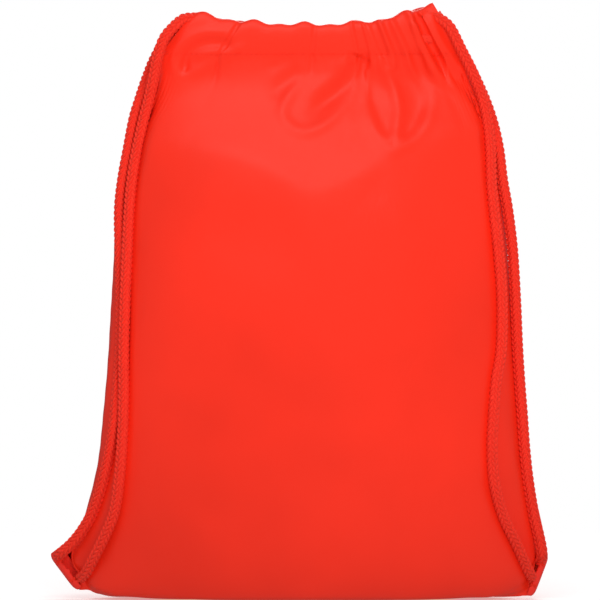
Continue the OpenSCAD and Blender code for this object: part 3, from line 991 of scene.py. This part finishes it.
def capsule(a, b, out, thick, sides=6):
    """Points and faces of a short stitch from a to b that arches out a little."""
    t = np.array([0.0, 0.12, 0.35, 0.65, 0.88, 1.0])
    swell = np.array([0.35, 0.85, 1.0, 1.0, 0.85, 0.35])
    lift = np.array([-0.6, 0.1, 0.5, 0.5, 0.1, -0.6]) * thick
    centre = a + (b - a) * t[:, None] + out * lift[:, None]
    along = unit(b - a)
    e1 = unit(out - along * (out @ along))
    e2 = np.cross(along, e1)
    angle = np.arange(sides) * 2 * math.pi / sides
    ring = centre[:, None] + (thick / 2 * swell)[:, None, None] * (
        np.cos(angle)[None, :, None] * e1 + np.sin(angle)[None, :, None] * e2)
    return ring.reshape(-1, 3), tube_faces(len(t), sides)


def thread_piece(name, stitches, thick):
    points, faces, base = [], [], 0
    for a, b, out in stitches:
        p, f = capsule(np.asarray(a, float), np.asarray(b, float), unit(out), thick)
        points.append(p)
        faces += [tuple(base + i for i in face) for face in f]
        base += len(p)
    piece = add_mesh(name, np.concatenate(points), faces, THREAD)
    return piece


STITCH_L, STITCH_GAP, STITCH_MARGIN = 0.0026, 0.0008, 0.004
THREAD_D, THREAD_PROUD = 0.00032, 0.00004


def make_hem_stitching():
    row = PANEL_ROWS * FINER + 2
    for face, grid in grids.items():
        line, normals = grid[row], grid_normals(grid, face)[row]
        along = distances(line)
        found = {"left": [], "right": []}
        for start in np.arange(STITCH_MARGIN, along[-1] - STITCH_MARGIN, STITCH_L + STITCH_GAP):
            ends = [np.array([np.interp(d, along, line[:, k]) for k in range(3)])
                    for d in (start, start + STITCH_L)]
            out = np.array([np.interp(start, along, normals[:, k]) for k in range(3)])
            side = "left" if ends[0][0] < HALVES_MEET_X else "right"
            found[side].append((ends[0] + out * THREAD_PROUD, ends[1] + out * THREAD_PROUD, out))
        for side, stitches in found.items():
            piece = thread_piece(f"{face}_hem_stitching_{side}_half", stitches, THREAD_D)
            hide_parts(f"{face}_hem_stitching")
            draw_with(piece)


make_hem_stitching()

# ---------------------------------------------------------------- seam allowances inside

SEAM_W = 0.008
SEAM_T = 0.0005
SEAM_FROM = 0.0004          # how far inside the seam line an allowance begins
SEAM_FOLDED = 0.92          # how much of an allowance lies folded away at the bag's thin neck
NECK_FROM, NECK_OVER = 0.280, 0.022


def allowance(name, line, inward, node, bodies):
    """Two raw edges sewn together, standing into the bag along a line."""
    wave = 0.0005 * np.sin(np.arange(len(line)) * 0.9)[:, None] * np.array([0, 1, 0])
    depth = [SEAM_FROM, SEAM_W / 2, SEAM_W]
    neck = 1 - SEAM_FOLDED * smooth((line[:, 2:] - NECK_FROM) / NECK_OVER)
    section = [line + inward * (d * neck) + (wave * (d / SEAM_W) + (0, side * SEAM_T, 0)) * neck
               for side, depths in ((-1, depth), (1, depth[::-1])) for d in depths]
    section = np.stack(section, 1)
    faces = tube_faces(*section.shape[:2])
    piece = add_mesh(name, section.reshape(-1, 3), faces, FABRIC, smooth_faces=False)
    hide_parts(node)
    if bodies in MOUTH_BODY:
        draw_with(piece)
    else:
        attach(piece, bodies)
    return piece


def make_seams():
    grid = grids["front"]
    top = int((PANEL_ROWS - 3) * FINER)
    for side, edge, inward in (("left", 0, 1.0), ("right", -1, -1.0)):
        line = grid[4:top:2, edge].copy()
        line[:, 1] = 0
        allowance(f"{side}_side_seam_allowance", line, np.array([inward, 0, 0]), f"{side}_side_seam", side)
    line = grid[0, 6:-6:3].copy()
    line[:, 1] = 0
    line[:, 2] = np.maximum(line[:, 2], 0.0005)
    allowance("bottom_seam_allowance", line, np.array([0, 0, 1.0]), "bottom_seam", "bag")


make_seams()

# ---------------------------------------------------------------- the cords inside the hem

RUN_HIGH, RUN_LOW, RUN_LAYER = 0.76, 0.35, 0.002
RUN_THICK = 0.0036
RUN_POINTS, RUN_STEP, RUN_SIDES = 120, 0.0012, 20
TURN_PULL = 0.15            # a turn is drawn in to this part of a half circle
TURN_RIB = 0.0035


def tunnel_point(face, u, up, out):
    place = (u + 1) / 2
    x_low = HEM_BOTTOM_X[0] + (HEM_BOTTOM_X[1] - HEM_BOTTOM_X[0]) * place
    x_high = HEM_TOP_X[0] + (HEM_TOP_X[1] - HEM_TOP_X[0]) * place
    z_high = hem_top(u)
    return np.stack([x_low + (x_high - x_low) * up, FACE_SIGN[face] * (mouth_half(u) + out),
                     HEM_BOTTOM_Z + (z_high - HEM_BOTTOM_Z) * up], -1)


def flat_braid(name, line, node):
    """A cord pressed flat between the two walls of a tunnel: wide up the wall, thin through it."""
    piece = braid_tube(name, line, flat=RUN_THICK / CORD_D, sides=RUN_SIDES)
    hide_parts(node)
    return piece


def make_runs():
    for own, far in (("left", "right"), ("right", "left")):
        layer = RUN_LAYER if own == "left" else -RUN_LAYER
        for face in FACE_SIGN:
            t = np.linspace(0, 1, RUN_POINTS)
            u = SIDE_SIGN[own] * (1 - 2 * t)
            line = tunnel_point(face, u, RUN_HIGH + (RUN_LOW - RUN_HIGH) * t, layer)
            node_name = f"{own}_cord_{face}_run"
            middle = int(np.abs(line[:, 0] - HALVES_MEET_X).argmin())
            for side, part in ((own, line[:middle + 1]), (far, line[middle:])):
                piece = flat_braid(f"{node_name}_{side}_half", spaced(part[::4], RUN_STEP), node_name)
                draw_with(piece)


def make_turns():
    for own, far in (("left", "right"), ("right", "left")):
        layer = RUN_LAYER if own == "left" else -RUN_LAYER
        sign = SIDE_SIGN[far]
        foot = tunnel_point("front", np.array(sign), RUN_LOW, layer)
        reach = abs(float(foot[1]))
        angle = np.linspace(-math.pi / 2, math.pi / 2, 40)
        line = np.stack([foot[0] + sign * TURN_PULL * reach * np.cos(angle), reach * np.sin(angle),
                         np.full(len(angle), foot[2])], 1)
        piece = turn_tube(f"{own}_cord_turn_braid", line)
        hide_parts(f"{own}_cord_turn")
        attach(piece, MOUTH_BODY[far])


def turn_tube(name, line):
    """The flattened cord bent round the mouth's end, its wide way upright."""
    across = unit(np.gradient(line, axis=0))
    up = np.array([0.0, 0.0, 1.0])
    thin = np.cross(across, up)
    angle = np.arange(RUN_SIDES) * 2 * math.pi / RUN_SIDES
    along = distances(line)
    rib = 1 + 0.10 * np.cos(STITCH_COLUMNS * angle[None, :] + 2 * math.pi * along[:, None] / TURN_RIB)
    ring = line[:, None] + thin[:, None] * (rib * RUN_THICK / 2 * np.cos(angle))[..., None] \
        + up * (rib * CORD_D / 2 * np.sin(angle))[..., None]
    return add_mesh(name, ring.reshape(-1, 3), tube_faces(len(line), len(angle)), CORD)


make_runs()
make_turns()

# ---------------------------------------------------------------- bartacks and corners


TACK_STITCHES = 11
TACK_W, TACK_H, TACK_PROUD = 0.0084, 0.006, 0.0004
TACK_THREAD_D, CORNER_THREAD_D = 0.0009, 0.0007


def make_mouth_bartacks():
    for side, sign in SIDE_SIGN.items():
        x = HEM_BOTTOM_X[0] if side == "left" else HEM_BOTTOM_X[1]
        x += sign * TACK_PROUD
        stitches = []
        for k in range(TACK_STITCHES):
            y = -TACK_W / 2 + TACK_W * k / (TACK_STITCHES - 1)
            foot = (x - sign * TACK_PROUD, y, HEM_BOTTOM_Z - TACK_H / 2)
            head = (x + sign * TACK_PROUD, y + 0.0003, HEM_BOTTOM_Z + TACK_H / 2)
            stitches.append((foot, head, (sign, 0, 0)))
        piece = thread_piece(f"{side}_mouth_bartack_thread", stitches, TACK_THREAD_D)
        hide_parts(f"{side}_mouth_bartack")
        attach(piece, MOUTH_BODY[side])


# Each corner's bound edge: foot and lean; the front leaf is narrow, the back one wide
CORNERS = {"left": ((-0.1447, 0.0, 0.0078), math.radians(-37)),
           "right": ((0.1508, 0.0, 0.0028), math.radians(21))}
BINDING_L, BINDING_W = 0.029, 0.009
TIP_ROUND = 0.0018          # how far the strip's corners are rounded off
LEAF_FRONT, LEAF_BACK = 0.0042, 0.0090     # widths of the strip's front and back leaves
LEAF_OPEN = (-0.0030, 0.0056)              # where the two leaves stand in y


BINDING_ROWS, BINDING_T, EAR_T = 40, 0.0008, 0.0006


def thicken(piece, thickness):
    piece.modifiers.new("cloth_thickness", "SOLIDIFY").thickness = thickness


def corner_axes(side):
    foot, lean = CORNERS[side]
    along = np.array([math.sin(lean), 0, math.cos(lean)])
    inward = np.array([-SIDE_SIGN[side] * along[2], 0, SIDE_SIGN[side] * along[0]])
    return np.array(foot), along, inward


def binding_section(t):
    """Across the folded strip: (inward, y) from the front leaf's edge, round the fold, to the back's."""
    open_t = 1 - 0.55 * abs(2 * t - 1) ** 5
    front, back = LEAF_OPEN[0] * open_t, LEAF_OPEN[1] * open_t
    middle, radius = (front + back) / 2, (back - front) / 2
    fold = -BINDING_W / 2 + radius * 0.8 + TIP_ROUND * abs(2 * t - 1) ** 8
    wave = 0.0005 * math.sin(17 * t) + 0.0003 * math.sin(41 * t + 1)
    section = [(-BINDING_W / 2 + LEAF_FRONT + wave, front - 0.0002), (fold + 0.0008, front)]
    section += [(fold - radius * 0.8 * math.sin(a), middle - radius * math.cos(a))
                for a in np.linspace(0.15, math.pi - 0.15, 11)]
    return section + [(fold + 0.0012, back), (-BINDING_W / 2 + LEAF_BACK, back - 0.0006)]


def make_bindings():
    for side, sign in SIDE_SIGN.items():
        foot, along, inward = corner_axes(side)
        rows = [[foot + along * (BINDING_L * t) + inward * i + np.array([0, y, 0])
                 for i, y in binding_section(t)] for t in np.linspace(0, 1, BINDING_ROWS)]
        piece = strip(f"{side}_corner_binding_strip", finer(np.array(rows)), None, BINDING, sign > 0)
        thicken(piece, BINDING_T)
        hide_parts(f"{side}_corner_binding")
        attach(piece, "bag")


# The outer line of the cloth between each side seam and its corner's tip, from below upward
EARS = {"left": [(-0.1460, 0.002, 0.006), (-0.1545, 0.003, 0.017), (-0.1615, 0.002, 0.0265),
                 (-0.1555, -0.001, 0.034), (-0.1485, -0.003, 0.041), (-0.1400, -0.003, 0.057)],
        "right": [(0.1535, 0.002, 0.002), (0.1575, 0.003, 0.014), (0.1620, 0.002, 0.027),
                  (0.1622, -0.001, 0.038), (0.1600, -0.002, 0.050), (0.1565, -0.002, 0.065)]}
EAR_SAG = {"left": 0.018, "right": 0.006}
EAR_ROWS, EAR_COLUMNS = 40, 14


def make_ears():
    """The cloth drawn out to the tip of each bottom corner, sunk in behind the cords."""
    grid = grids["front"]
    for side, edge in (("left", 0), ("right", -1)):
        outer = spaced(EARS[side], 0.001)
        outer = through(outer, np.linspace(0, len(outer) - 1, EAR_ROWS))
        seam = grid[:, edge]
        seam = seam[(seam[:, 2] < outer[-1, 2]) & (np.arange(len(seam)) < 60)]
        inner = through(seam, np.linspace(0, len(seam) - 1, EAR_ROWS))
        v = np.linspace(0, 1, EAR_COLUMNS)
        u = np.linspace(0, 1, EAR_ROWS)
        sheet = inner[:, None] * (1 - v)[None, :, None] + outer[:, None] * v[None, :, None]
        sag = EAR_SAG[side] * np.sin(math.pi * u)[:, None] ** 0.7 * np.sin(math.pi * v)[None] ** 0.8
        crease = 0.0008 * np.sin(6 * u[:, None] + 9 * v[None])
        sheet[..., 1] += sag + crease * np.sin(math.pi * v)[None]
        piece = strip(f"{side}_corner_ear", sheet, None, FABRIC, side == "left")
        thicken(piece, EAR_T)
        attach(piece, "bag")


def make_corner_bartacks():
    for side in SIDE_SIGN:
        foot, along, inward = corner_axes(side)
        out = np.array([0, -1.0, 0])
        stitches = []
        for up in (0.24, 0.76):
            for k in range(7):
                a = foot + along * (BINDING_L * up - 0.0012) + inward * (-0.0036 + 0.0034 * k / 6)
                a = a + out * (-LEAF_OPEN[0] + 0.0002)
                stitches.append((a, a + along * 0.0024 + inward * 0.0002, out))
        piece = thread_piece(f"{side}_corner_bartack_thread", stitches, CORNER_THREAD_D)
        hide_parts(f"{side}_corner_bartack")
        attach(piece, "bag")


make_mouth_bartacks()
make_bindings()
make_ears()
make_corner_bartacks()

# ---------------------------------------------------------------- floor and light

FLOOR_R = 0.85
FLOOR_STEPS = 64


def make_floor():
    """A pale round floor that fades out at its rim into the studio's white."""
    material = bpy.data.materials.new("pale_floor")
    tree, shader = nodes_of(material)
    set_inputs(shader, {"Base Color": (0.93, 0.93, 0.93, 1), "Roughness": 0.7,
                        "Emission Color": (1, 1, 1, 1), "Emission Strength": 0.30})
    place = node(tree, "ShaderNodeTexCoord")
    distance = node(tree, "ShaderNodeVectorMath", operation="LENGTH")
    link(place, "Object", distance, 0)
    fade = node(tree, "ShaderNodeMapRange",
                {"From Min": FLOOR_R * 0.35, "From Max": FLOOR_R * 0.97, "To Min": 1.0, "To Max": 0.0},
                interpolation_type="SMOOTHSTEP")
    link(distance, "Value", fade, "Value")
    link(fade, "Result", shader, "Alpha")
    rim = [(FLOOR_R * math.cos(a), FLOOR_R * math.sin(a), -0.0005)
           for a in np.linspace(0, 2 * math.pi, FLOOR_STEPS, endpoint=False)]
    floor = add_mesh("floor", rim, [tuple(range(FLOOR_STEPS))], material)
    floor.visible_diffuse = floor.visible_glossy = False


def area_light(name, place, target, width, height, power, mirrored=True):
    data = bpy.data.lights.new(name, "AREA")
    data.shape = "RECTANGLE"
    data.size, data.size_y, data.energy = width, height, power
    light = bpy.data.objects.new(name, data)
    light.location = place
    aim = Vector(target) - Vector(place)
    light.rotation_euler = aim.to_track_quat("-Z", "Y").to_euler()
    light.visible_glossy = mirrored
    scene.collection.objects.link(light)


def make_world(strength, seen, mirrored):
    """White all round: one strength for lighting, one as the camera's backdrop, one in reflections."""
    world = bpy.data.worlds.new("studio")
    scene.world = world
    world.use_nodes = True
    tree = world.node_tree
    glow = tree.nodes["Background"]
    set_inputs(glow, {"Color": (1, 1, 1, 1), "Strength": strength})
    backdrop = node(tree, "ShaderNodeBackground", {"Color": (1, 1, 1, 1), "Strength": seen})
    path = node(tree, "ShaderNodeLightPath")
    mix = node(tree, "ShaderNodeMixShader")
    dim = node(tree, "ShaderNodeBackground", {"Color": (1, 1, 1, 1), "Strength": mirrored})
    ambient = node(tree, "ShaderNodeMixShader")
    link(path, "Is Glossy Ray", ambient, "Fac")
    link(glow, "Background", ambient, 1)
    link(dim, "Background", ambient, 2)
    link(path, "Is Camera Ray", mix, "Fac")
    link(ambient, "Shader", mix, 1)
    link(backdrop, "Background", mix, 2)
    link(mix, "Shader", tree.nodes["World Output"], "Surface")


make_floor()
make_world(strength=0.54, seen=1.0, mirrored=0.1)
area_light("overhead_box", (-0.15, -1.08, 1.60), (0, 0, 0.30), 1.5, 0.70, 7.5)
area_light("front_fill", (0.45, -2.4, 0.02), (0, 0, 0.10), 1.2, 1.2, 31, mirrored=False)
area_light("back_box", (0.2, 1.6, 1.4), (0, 0, 0.2), 1.2, 0.9, 12)
